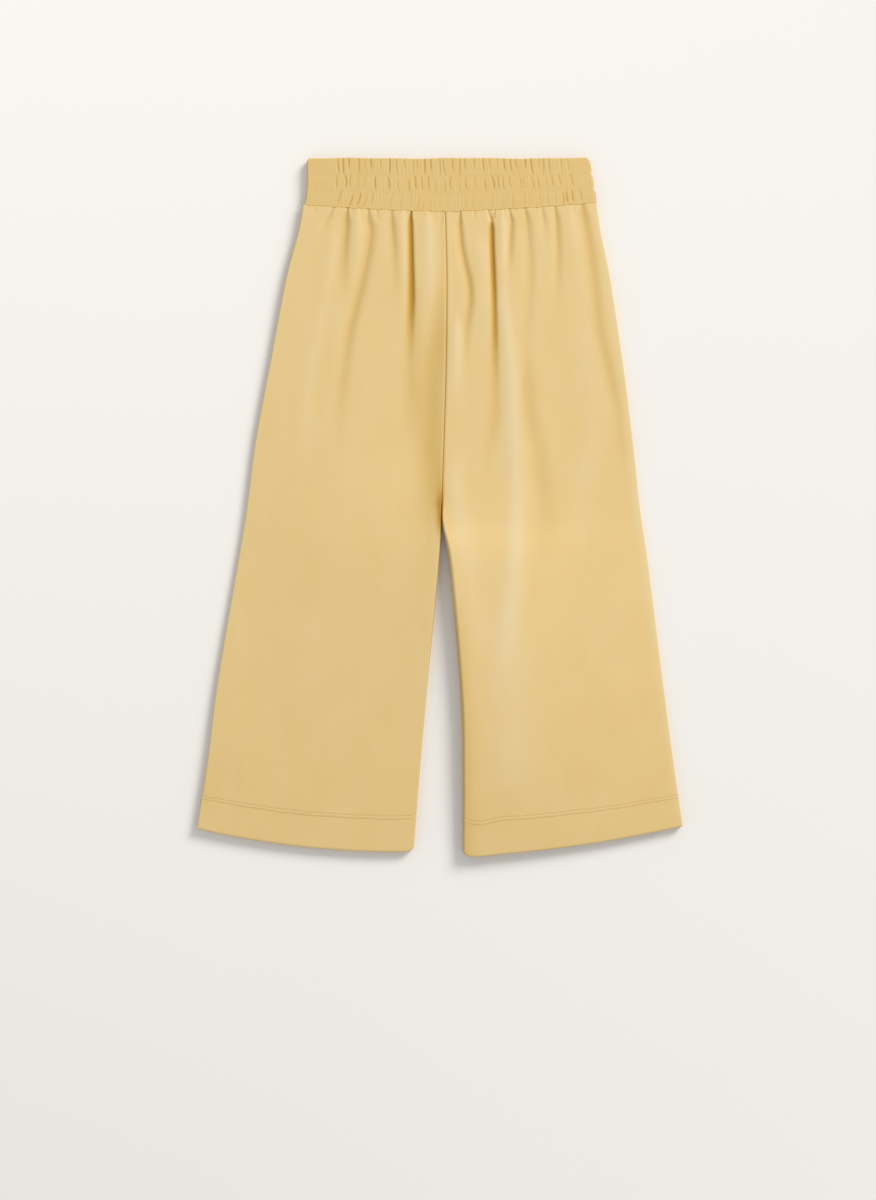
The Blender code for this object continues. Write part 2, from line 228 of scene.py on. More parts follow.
# Long, soft folds that run on down the legs, with painted shade, or painted highlight where the shade is
# below 0
rollShape = {"sharp": 0, "start": 0, "opensOver": 50, "narrow": 0.8, "shaded": 0, "tail": 1}
rolls = (
    (((-26, 235), (-26.5, 197), (-27, 168), (-28.5, 130), (-27.5, 92), (-22, 30)),
     0.5, (6, 7), {"fullTo": 0.5, "shade": 0.28}),
    (((-1, 235), (-2, 168), (-6, 110), (-7.5, 54), (-4, 7), (-4, -60)),
     0.9, (12, 7), {"opensOver": 90, "narrow": 0.5, "fullTo": 0.75, "shade": 0.42}),
    (((14, 60), (17, 10), (22, -36), (32, -98), (42, -175)), -0.1, (8, 9), {"fullTo": 0.3, "shade": -0.28}),
    (((52.5, 200), (52.5, 130), (53, 92), (47, 50), (44, 10)),
     0.4, (5.5, 4.5), {"fullTo": 0.5, "shade": 0.3}),
    (((80, 155), (82, 92), (91, 54), (96, 7), (96, -70)),
     0.4, (6, 8), {"fullTo": 0.6, "shade": 0.2, "shaded": 0.3}),
    (((130, 190), (134, 168), (140, 130), (147, 92), (141, 54), (133, 7), (128, -50)),
     -0.2, (9, 9), {"opensOver": 40, "fullTo": 0.6, "shade": -0.15}),
    (((59.5, 235), (61, 190), (63.5, 168), (67.2, 130), (68.5, 92), (71, 54), (72, 7), (71, -40),
      (68, -80), (62, -136), (56, -176), (52, -215)),
     -0.5, (4.2, 4.2), {"opensOver": 70, "fullTo": 0.6, "spread": 3, "shade": -0.42}),
    (((66, -50), (61, -164), (68, -240), (72, -310)),
     -0.3, (13, 18), {"opensOver": 90, "fullTo": 0.7, "shade": -0.26}),
)
folds = [
    {**gatherShape, **kind, **changes, "path": path, "depth": depth, "widths": widths}
    for kind, group in (({}, gathers), (ridgeShape, ridges), (rollShape, rolls))
    for path, depth, widths, changes in group
]
# Broad waves in the fronts: centre x and y, half lengths across and along, height
waves = (
    (-25, 38, 30, 110, -0.8),
    (-95, -62, 45, 190, 0.5),
    (72, -72, 20, 150, 0.7),
    (125, 18, 26, 160, -0.7),
    (-165, -152, 30, 110, -0.4),
)
backGathers = {
    "count": 26,
    "jitter": 0.3,  # of their spacing
    "depth": 1.0,
    "shallowest": 0.5,
    "sharp": 0.5,
    "widths": (3.0, 5.5),
    "reaches": (25, 110),
    "fan": 0.0009,
    "shade": 0.3,
    "seed": 11,
}
creaseTip = {"falls": 1.6, "rounded": 0.02}  # of a sharp fold


def throughSections(values, position, corner):
    # a smooth curve through the sections' values, which may turn sharply at one of them
    if position < corner:
        values = values[:corner + 1]
    else:
        values, position = values[corner:], position - corner
    index = min(int(position), len(values) - 2)
    share = position - index
    start, end = values[index], values[index + 1]
    slopeIn = (end - values[max(index - 1, 0)]) / 2
    slopeOut = (values[min(index + 2, len(values) - 1)] - start) / 2
    square = 3 * (end - start) - 2 * slopeIn - slopeOut
    cube = slopeIn + slopeOut - 2 * (end - start)
    return start + slopeIn * share + square * share ** 2 + cube * share ** 3


def sectionAt(side, position):
    # only the inner edge's x turns sharply, at the crotch
    corners = (0, 0, legs["crotchSection"], 0, 0, 0)
    return [throughSections(values, position, corner) for values, corner in zip(zip(*legs[side]), corners)]


def rowY(side, section, share, position):
    bow = legs["waistBow"] + (legs["hemBow"][side] - legs["waistBow"]) * position / (len(legs[side]) - 1)
    return section[3] + (section[1] - section[3]) * share + bow * 4 * share * (1 - share)


def waistSeamY(x):
    # the line where the waistband meets the legs
    rightSide, leftSide = sectionAt("right", 0), sectionAt("left", 0)
    right = rowY("right", rightSide, (x - rightSide[2]) / (rightSide[0] - rightSide[2]), 0)
    left = rowY("left", leftSide, (x - leftSide[2]) / (leftSide[0] - leftSide[2]), 0)
    return np.where(x < rightSide[2], right, left)


def creaseShape(away, sharp):
    # 1 in the middle of a fold, falling to 0 beside it
    soft = bump(away, 1)
    rounded = creaseTip["rounded"]
    tight = np.exp(-creaseTip["falls"] * (np.sqrt(away ** 2 + rounded) - math.sqrt(rounded)))
    return soft + (tight - soft) * sharp


def frontRelief(x, y):
    # how far the front lies above its plain level, and its painted shade in the folds and painted highlight
    # on the ridges
    height, hollow = np.zeros_like(x), np.zeros_like(x)
    for fold in folds:
        pathX, pathY = zip(*reversed(fold["path"]))
        centre = np.interp(y, pathY, pathX)
        run = pathY[-1] - y
        along = np.clip(run / (pathY[-1] - pathY[0]), 0, 1)
        opened = smoothStep(run / fold["opensOver"])
        width = np.where(x < centre, *fold["widths"]) * (fold["narrow"] + (1 - fold["narrow"]) * opened)
        width *= 1 + (fold["spread"] - 1) * along
        strength = fold["start"] + (1 - fold["start"]) * opened
        strength *= 1 - smoothStep((along - fold["fullTo"]) / (1 - fold["fullTo"]))
        strength *= fold["tail"] + (1 - fold["tail"]) * np.exp(-np.maximum(run, 0) / fold["tailAt"])
        away = (x - centre) / width
        sharp = fold["sharp"] * (1 - smoothStep(along * fold["softens"]))
        height -= fold["depth"] * strength * creaseShape(away, sharp)
        deepest = fold["shade"] * (1 + fold["topShade"] * (1 - opened))
        hollow += deepest * strength * bump(away - fold["shaded"], fold["shadeWidth"])
    for centreX, centreY, across, along, lift in waves:
        height += lift * bump(x - centreX, across) * bump(y - centreY, along)
    return height, hollow


def backRelief(x, y):
    # the underside rests flat, so its gathers are creases pressed up into the cloth
    pick = random.Random(backGathers["seed"])
    leftEnd, rightEnd = legs["right"][0][0], legs["left"][0][0]
    jitter, depth = backGathers["jitter"], backGathers["depth"]
    down = np.maximum(waistSeamY(x) - y, 0)
    height = np.zeros_like(x)
    for index in range(backGathers["count"]):
        share = (index + 0.5 + pick.uniform(-jitter, jitter)) / backGathers["count"]
        centre = leftEnd + (rightEnd - leftEnd) * share
        centre += (centre - (leftEnd + rightEnd) / 2) * backGathers["fan"] * down
        width = pick.uniform(*backGathers["widths"])
        fade = 1 - smoothStep(down / pick.uniform(*backGathers["reaches"]))
        strength = depth * pick.uniform(backGathers["shallowest"], 1) * fade
        height += strength * creaseShape((x - centre) / width, backGathers["sharp"])
    height = np.minimum(height, depth)
    # painted shade in the back's creases
    return height, height * backGathers["shade"]


def seamWobble(x):
    first, second = waistSeam["wobbleLengths"]
    swing = np.sin(x / first) + waistSeam["second"] * np.sin(x / second + 2)
    return waistSeam["wobble"] * swing / (1 + waistSeam["second"])


def seamShade(x):
    # painted shade in the waist seam's crease, swinging along it
    first, second = waistSeam["shadeLengths"]
    return waistSeam["shade"] + waistSeam["shadeSwing"] * np.sin(x / first) * np.sin(x / second + 1)


def crotchShare(side, position):
    # 0 where the rise seam joins the legs, 1 where each leg closes on itself
    crotchY = legs[side][legs["crotchSection"]][3]
    return 1 - smoothStep((sectionAt(side, position)[3] - crotchY) / legs["crotchLength"])


def legDepths(side):
    # how far below the waist seam each position lies, along the middle of the leg
    positions = np.linspace(0, len(legs[side]) - 1, legs["depthSteps"])
    middles = np.array([sum(sectionAt(side, position)[1:4:2]) / 2 for position in positions])
    return positions, middles[0] - middles


depthTables = {side: legDepths(side) for side in ("right", "left")}
legLength = {side: float(depthTables[side][1][-1]) for side in ("right", "left")}


# Twin-needle hem: two rows of stitches up from the hem's edge, with the cloth raised between them
hem = {
    "rows": (30.4, 33.4),
    "ridge": 0.13,
    "ridgeWidth": 0.9,
    # painted highlight on the raised cloth between the two rows
    "ridgeHighlight": 0.15,
    "pull": 0.06,
    "pullWidth": 0.6,
    "undersidePull": 0.4,
    "pitch": 2.55,
    "thread": 0.55,
    "stitchShare": 0.66,  # of the pitch, above the cloth
    "hole": 0.75,
    "round": 0.8,  # how far the folded edge rounds out
    "sag": {"right": 0.6, "left": 3.2},  # the rows of stitches sag near the inner edge
    "sagAt": 17,
    "sagWidth": 14,
    "wobble": 0.35,
    "wobbleLengths": (7.3, 19),
    "wobbleOver": 24,  # how far from the rows the cloth still follows them
    "endPoints": 6,  # of a row that have no stitch, at each end
    "backDrop": 0.1,  # the back's stitches stand out below its needle pulls
}


def hemRidge(fromHem):
    # 1 between the two rows of stitches
    return bump(fromHem - sum(hem["rows"]) / 2, hem["ridgeWidth"])


def hemRelief(fromHem, isFront):
    pulled = sum(bump(fromHem - row, hem["pullWidth"]) for row in hem["rows"])
    if not isFront:
        return hem["undersidePull"] * pulled
    return hem["ridge"] * hemRidge(fromHem) - hem["pull"] * pulled


def hemSag(side, x, fromInner, fromHem):
    # how far the cloth near the rows of stitches hangs below a straight line
    first, second = hem["wobbleLengths"]
    sag = hem["sag"][side] * bump(fromInner - hem["sagAt"], hem["sagWidth"])
    wobble = hem["wobble"] * np.sin(x / first) * np.sin(x / second + 1)
    return (sag + wobble) * bump(fromHem - hem["rows"][0], hem["wobbleOver"])


# How closely the legs' rows and columns lie
grid = {
    "seamRows": (0, 0.2, 0.45, 0.8, 1.2, 1.8, 2.6),
    "gatherStep": 1.4,
    "gatherReach": 150,
    "lowerStep": 4.0,
    "widensOver": 100,
    "stitchBand": (25, 39),  # up from the hem's edge
    "stitchStep": 0.45,
    "hemStep": 2.2,
    "edgeAngles": (0, 4, 8, 13, 20, 30, 42, 55, 68, 80),
    "frontColumns": 232,
    "backColumns": 90,
    "backSeamRows": 7,  # between these and its hem's rows, the back has every second one
    "backHemRows": 45,
    "hemTurns": 6,
    "hemInsideRows": 8,
    "hemInsideEnd": 2,  # the turned-up cloth ends this far above its hem's depth
    "hemStepUp": 0.6,
    "insideStep": 8,
    "stitchPoints": 300,
    "near": 0.01,
}
# Painted shade beside the legs' edges and in their seams' creases, golden, or, below 0, pale
# painted highlight. Places are below the crotch, and widths are in from the edge.
edgeShading = {
    "riseCrease": 0.75,
    "sewnCrease": 0.4,
    "turnedEdge": 0.2,
    "leftTurned": 0.55,  # the left leg's raised inner edge
    "leftSlope": {"tint": 0.3, "width": 10, "from": 60, "over": 60},
    "leftOuter": {"tint": -0.35, "width": 5},
    "leftCrotch": {"tint": 1, "at": -14, "over": 11, "width": 1.5},
    "rightTurned": {"at": 20, "over": 50},
    "rightCrotch": {"tint": 1.2, "at": -1, "over": 18, "width": 4.5},
    "rightRise": {"tint": 0.14, "width": 5},
}


def outsideDowns(length):
    # how far below the waist seam each outside row lies
    downs = list(grid["seamRows"])
    bandStart, bandEnd = (length - edge for edge in reversed(grid["stitchBand"]))
    while downs[-1] < length - hem["round"] - grid["near"]:
        here = downs[-1]
        step = grid["gatherStep"]
        if here >= bandEnd:
            step = grid["hemStep"]
        elif here >= bandStart - grid["near"]:
            step = grid["stitchStep"]
        elif here >= grid["gatherReach"]:
            growth = min((here - grid["gatherReach"]) / grid["widensOver"], 1)
            step = min(step + (grid["lowerStep"] - step) * growth, max(bandStart - here, 0.1))
        downs.append(min(here + step, length - hem["round"]))
    return downs


def acrossLeg(section, width, rise, shares, inset):
    # each point's share of the way from the inner edge to the outer one, and its angles round them
    radiusOut, radiusIn = (edgeRadius(height) for height in section[4:])
    angles = np.radians(grid["edgeAngles"])
    beyond, between = (np.full(len(points), math.pi / 2) for points in (angles, shares))
    innerAngle = np.concatenate([angles, between, beyond])
    outerAngle = np.concatenate([beyond, between, angles[::-1]])
    flat = np.concatenate([0 * angles, shares, 0 * angles + 1])
    turnIn = max(radiusIn - inset * rise, cloth["leastRound"]) * np.cos(innerAngle)
    turnOut = max(radiusOut - inset, cloth["leastRound"]) * np.cos(outerAngle)
    distance = radiusIn - turnIn + flat * (width - radiusIn - radiusOut) + turnOut
    gap = cloth["seamGap"] / 2
    return (gap + distance * (width - gap) / width) / width, innerAngle, outerAngle


def paintedEdgeShading(side, share, width, rise, turned, belowCrotch):
    # painted shade along a leg's edges and by the crotch, and painted highlight by the left leg's outer
    # edge
    fromInner, fromOuter = width * share, width * (1 - share)
    tints = edgeShading
    if side == "left":
        slope, outer, crotch = tints["leftSlope"], tints["leftOuter"], tints["leftCrotch"]
        farDown = smoothStep((belowCrotch - slope["from"]) / slope["over"])
        sloping = slope["tint"] * bump(fromInner, slope["width"]) * farDown
        hollow = rise * (tints["leftTurned"] * turned ** 3 + sloping)
        hollow += outer["tint"] * bump(fromOuter, outer["width"])
    else:
        edge, seam, crotch = tints["rightTurned"], tints["rightRise"], tints["rightCrotch"]
        hollow = bump(belowCrotch - edge["at"], edge["over"]) * rise * turned
        hollow += seam["tint"] * (1 - rise) * bump(fromInner, seam["width"])
    beside = bump(belowCrotch - crotch["at"], crotch["over"]) * bump(fromInner, crotch["width"])
    return hollow + crotch["tint"] * beside


def legRow(side, isFront, down, shares, inset):
    # points and cloth coordinates of one row across a panel, `inset` under its outside
    positions, depths = depthTables[side]
    position = float(np.interp(down, depths, positions))
    fromHem = legLength[side] - down
    section = sectionAt(side, position)
    width, direction = abs(section[0] - section[2]), math.copysign(1, section[0] - section[2])
    rise = crotchShare(side, position)
    share, innerAngle, outerAngle = acrossLeg(section, width, rise, shares, inset)
    height = section[4] * share + section[5] * (1 - share)
    fromCorner = np.clip(1 - share * width / legs["cornerWidth"], 0, 1)
    x = section[2] + direction * share * width
    y = rowY(side, section, share, position)
    y += legs["hemCorner"] * smoothStep(position - len(legs[side]) + 2) * fromCorner ** 2
    y += seamWobble(x) * math.exp(-down / waistSeam["below"])
    y -= hemSag(side, x, width * share, fromHem)

    # the cloth's level, its folds, and the curl into the waist seam, with painted shade in the folds and
    # the seam
    clear = legs["foldClear"]
    fade = smoothStep(np.minimum(width * (1 - share), width * share + clear * (1 - rise)) / clear)
    relief, hollow = frontRelief(x, y) if isFront else backRelief(x, y)
    relief = relief + hemRelief(fromHem, isFront)
    up = 1 if isFront else -1
    curl = max(1 - down / legs["waistCurl"], 0)
    sunk = legs["waistCurlDepth"] * (1 - math.sqrt(1 - curl ** 2)) + inset
    level = height * isFront + relief * fade - up * sunk
    middle = height / 2 + up * cloth["seamGap"] / 2
    drop = rise * (1 - np.sin(innerAngle)) + 1 - np.sin(outerAngle)
    z = level + drop * (middle - level)
    # painted highlight on the hem's ridge between its rows
    hollow = hollow * fade + seamShade(x) * curl - hem["ridgeHighlight"] * hemRidge(fromHem)

    # the seams' creases and their painted shade, and the allowance that lifts the front by the rise seam
    if inset == 0:
        arcIn = width * share * (1 - rise) + innerAngle * edgeRadius(section[5]) * rise
        arcOut = outerAngle * edgeRadius(section[4])
        creaseIn, creaseOut = (bump(arc, legs["creaseWidth"]) for arc in (arcIn, arcOut))
        x = x + direction * legs["seamCrease"] * (creaseIn * rise - creaseOut)
        z = z - up * legs["seamCrease"] * creaseIn * (1 - rise)
        hollow = hollow + edgeShading["riseCrease"] * creaseIn * (1 - rise)
        hollow = hollow + edgeShading["sewnCrease"] * (creaseIn * rise + creaseOut)
        hollow = hollow + edgeShading["turnedEdge"] * drop
        crotchY = legs[side][legs["crotchSection"]][3]
        hollow = hollow + paintedEdgeShading(side, share, width, rise, 1 - np.sin(innerAngle), crotchY - section[3])
        if isFront:
            z += legs["seamLip"] * (1 - rise) * bump(width * share - legs["lipAt"], legs["lipWidth"])
    gathered = 1 + legs["gathered"] * math.exp(-down / legs["gatheredOver"])
    clothAcross = (share - 0.5) * width * gathered
    clothUp = np.full_like(x, fromHem)
    # painted shade on the leg edges that are turned to the light
    litEdgeShade = 1 - np.sin(outerAngle) if side == "left" else rise * (1 - np.sin(innerAngle))
    return np.stack([x, y, z], 1), np.stack([clothAcross, clothUp, hollow, np.sqrt(litEdgeShade)], 1)


def turnOver(outside, inside, depth, turns):
    # rows round a folded edge that reaches towards -Y, between an outside row and the inside one
    middle, half = (outside + inside) / 2, (outside - inside) / 2
    reach = np.array([0, -depth, 0])
    angles = [math.pi * turn / turns for turn in range(1, turns)]
    return [middle + half * math.cos(angle) + reach * math.sin(angle) for angle in angles]


def makePiece(name, points, faces, place):
    # a mesh in metres from points in millimetres, its faces turned to point out. A place is where
    # a point lies across and up the cloth, how much painted shade the cloth has there (painted highlight
    # if negative, with some of the cloth's own tone), and how much painted shade an edge turned to the
    # light gets.
    mesh = bpy.data.meshes.new(name)
    mesh.from_pydata((np.asarray(points) * metre).tolist(), [], faces)
    layer = mesh.uv_layers.new(name="cloth")
    corners = np.empty(len(mesh.loops), np.int32)
    mesh.loops.foreach_get("vertex_index", corners)
    layer.data.foreach_set("uv", (place[corners, :2] * metre).astype(np.float32).ravel())
    for column, kind in ((2, "hollow"), (3, "edge")):
        values = mesh.attributes.new(kind, "FLOAT", "POINT")
        values.data.foreach_set("value", np.clip(place[:, column], -1, 1).astype(np.float32))
    shape = bmesh.new()
    shape.from_mesh(mesh)
    bmesh.ops.recalc_face_normals(shape, faces=shape.faces)
    shape.to_mesh(mesh)
    shape.free()
    mesh.shade_smooth()
    piece = bpy.data.objects.new(name, mesh)
    bpy.context.scene.collection.objects.link(piece)
    return piece


def wallFaces(rows, columns):
    # quads between each row and the next, and between the last and the first
    wide = len(rows[0][0])
    faces = []
    for row in range(len(rows)):
        following = (row + 1) % len(rows)
        for column in range(columns):
            beside = (column + 1) % wide
            corners = ((row, column), (row, beside), (following, beside), (following, column))
            faces.append([corner[0] * wide + corner[1] for corner in corners])
    return faces


def sideRim(rows, wide, column):
    # closes one side of a wall: each outside row is joined to the inside row level with it
    level = [row[1][column][1] for row in rows]
    first, last = 0, len(rows) - 1
    faces = []
    while last - first > 1:
        if abs(level[first + 1] - level[last]) < abs(level[last - 1] - level[first]):
            faces.append([row * wide + column for row in (first, first + 1, last)])
            first += 1
        else:
            faces.append([row * wide + column for row in (first, last - 1, last)])
            last -= 1
    return faces


def addLegPanel(node, side, isFront):
    print(node)
    shares = np.linspace(0, 1, grid["frontColumns" if isFront else "backColumns"])
    length, layer = legLength[side], cloth["layer"]
    downs = outsideDowns(length)
    if not isFront:
        seamRows, hemRows = grid["backSeamRows"], grid["backHemRows"]
        downs = downs[:seamRows] + downs[seamRows + 1:-hemRows:2] + downs[-hemRows:]
    rows = [legRow(side, isFront, down, shares, 0) for down in downs]
    outside, clothAt = rows[-1]
    inside = legRow(side, isFront, downs[-1], shares, 2 * layer)[0]
    rows += [(points, clothAt) for points in turnOver(outside, inside, hem["round"], grid["hemTurns"])]
    turnedUp = length - legs["hemDepth"] - grid["hemInsideEnd"]
    foldedDowns = np.linspace(downs[-1], turnedUp, grid["hemInsideRows"])
    rows += [legRow(side, isFront, down, shares, 2 * layer) for down in foldedDowns]
    insideDowns = np.linspace(turnedUp - grid["hemStepUp"], 0, int(turnedUp / grid["insideStep"]))
    rows += [legRow(side, isFront, down, shares, layer) for down in insideDowns]
    wide = len(rows[0][0])
    faces = wallFaces(rows, wide - 1) + sideRim(rows, wide, 0) + sideRim(rows, wide, wide - 1)
    points, place = (np.concatenate(values) for values in zip(*rows))
    return makePiece(node + "_panel", points, faces, place)


# Waistband: a loop of cloth over elastic, drawn in by two rows of shirring stitches
band = {
    "topY": 330.5,
    "topEnds": (-126.0, 140.8),
    "seamEnds": (-129.0, 148.0),
    "height": 8.6,
    "wall": 3.7,
    "topTurns": 8,
    "seamCurl": 0.5,
    "seamCurlDepth": 0.16,
    "stitchRows": (0.334, 0.664),  # shares of the way down
    "pillow": 0.12,  # how far a channel swells between the stitch rows
    "topShare": 0.4,  # the folded top edge isn't stitched down, so its channel is part of a whole one
    "endSwell": 1.2,
    "frontStep": 0.5,
    "backStep": 0.95,
    "endAngles": (80, -81, -10),
    "rowStep": 0.7,
    "seamRows": (1.3, 0.9, 0.5, 0.2, 0.0),  # up from the seam
    "insideRows": (0.08, 0.2, 0.35, 0.5, 0.65, 0.8, 0.92, 1.0),
    "topWave": 0.35,
    "waveLengths": (17, 7.3),
    "secondWave": 0.6,
    "tint": 0.24,  # stretched over its elastic, the cloth is a little deeper in colour
    "topRound": 0.7,
    "cornerRound": 1.8,
    "ribs": 0.03,  # height of the elastic's fine ribs, and how they look
    "ribTint": 0.06,
    "clothTop": 748,  # where the band lies up the cloth's own lengthways measure
    "clothDepth": 48,
    "clothStretch": 1.3,
}
# The grooves that the shirring draws in, channel by channel from the top. Slant is how far a groove
# leans to the right on its way down, at either end. Faint is a stretch of shallow ones.
channels = (
    {
        "grooves": (-96, -92, -86, -77.5, -72, -64, -55, -49, -41, -33, -27, -22, -16, -9, -1, 4, 11, 17,
                    23, 31, 40, 48, 53, 60, 67, 73, 79, 86, 92.5, 96, 102, 113, 121),
        "deep": (-92, -86, -64, -49, -16, -9, 60, 79, 86),
        "slant": (1, 4), "depth": 0.42, "seed": 3,
    },
    {
        "grooves": (-97, -90.5, -84, -78.5, -70, -60.5, -50, -39, -30, -23, -17, -11, -3.5, 3.5, 11, 18.5,
                    26, 34, 43, 49.5, 55.5, 61, 67, 75, 81, 87.5, 93.5, 100, 107, 113, 125),
        "deep": (-90.5, -60.5, -50, -23, 49.5), "slant": (0, 3), "depth": 0.38, "seed": 8,
    },
    {
        "grooves": (-96, -84.5, -77.5, -72, -65.5, -53.5, -45, -36.5, -29, -21, -16, -8, 0, 8, 16, 24, 32,
                    40, 50, 58, 62, 70, 78.5, 86.5, 94.5, 103.5, 111, 115.5, 121, 126.5, 132),
        "deep": (-84.5, -77.5, 121, 126.5), "slant": (-5, 2), "depth": 0.32, "faint": (-60, 112), "seed": 5,
    },
)
grooveShape = {
    "widths": (1.0, 0.6),  # of its left and right slopes
    "bend": 1.9,
    "shallowest": 0.4,
    "deepest": 1.3,
    "faint": 0.5,
    # painted shade in the grooves
    "tint": 0.36,
    "tip": 0.3,  # the share of a groove's length over which it tapers at each end
    "shift": 0.14,
}
backChannels = [
    {
        "grooves": start + 8.2 * np.arange(30),
        "deep": (), "slant": (0, 1), "depth": 0.8, "seed": 20 + start,
    }
    for start in (-118, -115, -120)
]


def grooveAt(x, down, channel):
    # 1 along a full groove, 0 between grooves
    middles = np.array(channel["grooves"], float)
    pick = random.Random(channel["seed"])
    shallowest, shift = grooveShape["shallowest"], grooveShape["shift"]
    bends = np.array([pick.uniform(-1, 1) for middle in middles]) * grooveShape["bend"]
    depths = np.array([pick.uniform(shallowest, 1) for middle in middles])
    shifts = np.array([pick.uniform(-shift, shift) for middle in middles])
    depths[np.isin(middles, channel["deep"])] = grooveShape["deepest"]
    faintFrom, faintTo = channel.get("faint", (0, 0))
    depths[(middles > faintFrom) & (middles < faintTo)] *= grooveShape["faint"]
    place = x - np.interp(x, (middles[0], middles[-1]), channel["slant"]) * (down - 0.5)
    nearest = np.searchsorted((middles[1:] + middles[:-1]) / 2, place)
    away = place - middles[nearest] - bends[nearest] * (1 - (2 * down - 1) ** 2)
    taper = smoothStep((0.5 - np.abs(down - 0.5 - shifts[nearest])) / grooveShape["tip"])
    return depths[nearest] * taper * bump(away, np.where(away < 0, *grooveShape["widths"]))


def bandRelief(x, down, isFront):
    # the swelling of the three channels between the stitch rows, and the painted shade in their grooves
    edges = (0, *band["stitchRows"], 1)
    index = min(int(np.searchsorted(edges, down, "right")) - 1, 2)
    channel = (channels if isFront else backChannels)[index]
    share = (down - edges[index]) / (edges[index + 1] - edges[index])
    if index == 0:
        share = band["topShare"] + (1 - band["topShare"]) * share
    swell = math.sin(math.pi * share) ** 2
    groove = grooveAt(x, share, channel)
    return band["pillow"] * (swell - 1) - channel["depth"] * groove, groove * grooveShape["tint"]


def bandColumns():
    # columns round the band: the front from left to right, its right end, the back and its left end
    across = band["seamEnds"][1] - band["seamEnds"][0]
    front = np.linspace(0, 1, int(across / band["frontStep"]))
    back = np.linspace(1, 0, int(across / band["backStep"]))
    ends = np.radians(np.arange(*band["endAngles"]))
    place = np.concatenate([front, 0 * ends + 1, back, 0 * ends])
    angle = np.concatenate([0 * front + math.pi / 2, ends, 0 * back - math.pi / 2, ends[::-1]])
    end = np.concatenate([0 * front, 0 * ends + 1, 0 * back, 0 * ends - 1])
    return place, angle, end


def bandRow(down, inset, relief, columns, lift=0):
    # one ring round the band, `down` from its top edge to the seam, `inset` under its outside
    place, angle, end = columns
    radius, middle = edgeRadius(band["height"]), band["height"] / 2
    (topLeft, topRight), (seamLeft, seamRight) = band["topEnds"], band["seamEnds"]
    corner = band["cornerRound"] * max(1 - down * 16, 0) ** 2
    left = topLeft + (seamLeft - topLeft) * down ** 6 + corner + radius
    right = topRight + (seamRight - topRight) * down - corner - radius
    swell = abs(math.sin(math.pi * 3 * down)) ** 0.7 * band["endSwell"] * relief * (end > 0)
    turnedIn = max(radius - inset, cloth["leastRound"])
    x = left + (right - left) * place + end * (turnedIn + swell) * np.cos(angle)
    seamY = waistSeamY(x) + cloth["seamGap"]
    first, second = band["waveLengths"]
    wave = np.sin(x / first) + band["secondWave"] * np.sin(x / second + 1)
    wave = (wave - grooveAt(x, 0.3, channels[0])) * band["topWave"] * (1 - down) ** 6
    y = band["topY"] + lift + wave + (seamY - band["topY"]) * down + seamWobble(x) * down ** 9
    fromSeam = (band["topY"] - seamY) * (1 - down)
    curl = np.clip(1 - fromSeam / band["seamCurl"], 0, 1) if inset == 0 else 0 * x
    sunk = band["seamCurlDepth"] * (1 - np.sqrt(1 - curl ** 2)) + inset
    front, hollow = bandRelief(x, down, True)
    back = bandRelief(x, down, False)[0]
    flatness = np.abs(np.sin(angle)) ** 8 * relief
    ribs = (np.sin(x * 2.9) + np.sin(x * 1.9 + 3 * down)) * np.sin(x / 5 + 9 * down) * relief
    raised = np.where(angle > 0, front, -back) + ribs * band["ribs"] * np.sign(angle)
    z = middle + (middle - sunk) * np.sin(angle) + raised * flatness
    # painted shade in the grooves and the seam's crease, then the band's deeper colour and its ribs' tone
    hollow = hollow * flatness * (angle > 0) + seamShade(x) * curl
    hollow = hollow + band["tint"] + ribs * band["ribTint"]
    clothUp = np.full_like(x, band["clothTop"] - down * band["clothDepth"] + lift)
    steps = np.hypot(np.diff(x, prepend=x[0]), np.diff(z, prepend=z[0]))
    clothAcross = np.cumsum(steps) * band["clothStretch"]
    # painted shade on the band's top edge and right end, which are turned to the light
    litEdgeShade = np.maximum(1 - relief, (1 - np.abs(np.sin(angle))) * (end > 0))
    return np.stack([x, y, z], 1), np.stack([clothAcross, clothUp, hollow, np.sqrt(litEdgeShade)], 1)


def addWaistband():
    print("waistband")
    columns = bandColumns()
    high = band["topY"] - float(waistSeamY(np.array([0.0]))[0])
    wall, turns = band["wall"], band["topTurns"]
    topRound = band["topRound"]
    rows = [bandRow(down, wall, 0, columns) for down in reversed(band["insideRows"])]
    for turn in range(turns, -1, -1):
        angle = math.pi * turn / turns
        inset = wall / 2 * (1 - math.cos(angle))
        relief = (1 + math.cos(angle)) / 2
        rows.append(bandRow(topRound / high, inset, relief, columns, topRound * math.sin(angle)))
    outside = np.linspace(topRound / high, 1, int(high / band["rowStep"]))[1:-2]
    fine = 1 - np.array(band["seamRows"]) / high
    rows += [bandRow(down, 0, 1, columns) for down in [*outside, *fine]]
    points, place = (np.concatenate(values) for values in zip(*rows))
    return makePiece("waistband_loop", points, wallFaces(rows, len(columns[0])), place)


# Thread. A ring of a stitch gives the share of the way along it, how far it lies above the cloth
# and its width, in widths of thread, and how much painted shade it gets, most where it dives into the
# cloth.
shirring = {"pitch": 3.8, "thread": 0.28, "stitchShare": 0.7, "sunk": -0.05}
stitchShape = {
    "sides": 6,
    "rings": (
        (-0.1, -0.54, 0.55, 0.7),
        (0.02, -0.06, 0.9, 0.6),
        (0.3, 0.21, 1, 0.05),
        (0.7, 0.21, 1, 0.05),
        (0.98, -0.06, 0.9, 0.6),
        (1.1, -0.54, 0.55, 0.7),
    ),
}


